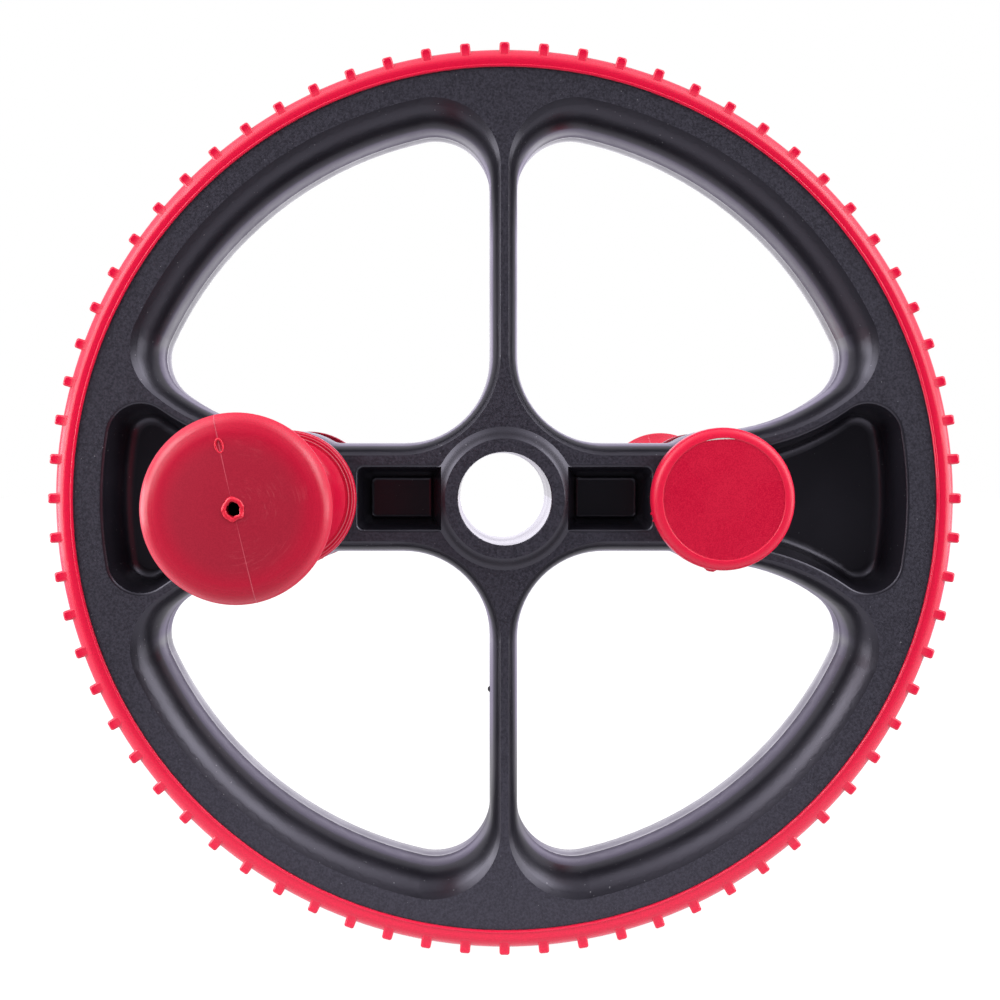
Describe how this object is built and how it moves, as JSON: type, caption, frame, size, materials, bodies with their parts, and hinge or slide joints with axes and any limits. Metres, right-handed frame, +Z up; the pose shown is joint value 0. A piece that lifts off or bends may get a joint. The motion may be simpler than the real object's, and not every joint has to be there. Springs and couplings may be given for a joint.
{
  "type": "ab wheel roller",
  "caption": "Large ribbed exercise wheel with an open hub bore and off-centre hand grips on opposite sides that turn freely in bosses on its arms.",
  "frame": {"origin": "centre of the wheel, on its axle line at the joint of its halves", "axes": "+Y along the axle line away from the viewer of the picture, +X to the picture's right, +Z up"},
  "size_m": [0.3, 0.282, 0.3],
  "materials": {
    "black_plastic": "fine-grained satin moulding",
    "red_tread": "soft satin moulding",
    "red_grip": "soft matte moulding",
    "red_cap": "satin moulding",
    "red_disc": "satin moulding, a little darker than its cap",
    "nylon": "natural nylon",
    "steel": "drawn tube",
    "zinc_steel": "zinc plated"
  },
  "bodies": {
    "wheel": {"front_wheel_half": "black_plastic", "rear_wheel_half": "black_plastic", "tread": "red_tread", "left_grip_side_bush": "nylon", "left_cap_side_bush": "nylon", "right_grip_side_bush": "nylon", "right_cap_side_bush": "nylon"},
    "left_handle": {"left_grip": "red_grip", "left_end_cap": "red_cap", "left_cap_disc": "red_disc", "left_handle_tube": "steel", "left_tube_plug": "steel", "left_thrust_washer": "nylon", "left_retaining_washer": "zinc_steel", "left_retaining_bolt": "zinc_steel"},
    "right_handle": {"right_grip": "red_grip", "right_end_cap": "red_cap", "right_cap_disc": "red_disc", "right_handle_tube": "steel", "right_tube_plug": "steel", "right_thrust_washer": "nylon", "right_retaining_washer": "zinc_steel", "right_retaining_bolt": "zinc_steel"}
  },
  "joints": [
    {"name": "left_handle_spin", "type": "hinge", "parent": "wheel", "child": "left_handle", "pos_m": [-0.0704, 0, 0], "axis": [0, 1, 0], "continuous": true},
    {"name": "right_handle_spin", "type": "hinge", "parent": "wheel", "child": "right_handle", "pos_m": [0.0704, 0, 0], "axis": [0, 1, 0], "continuous": true}
  ]
}
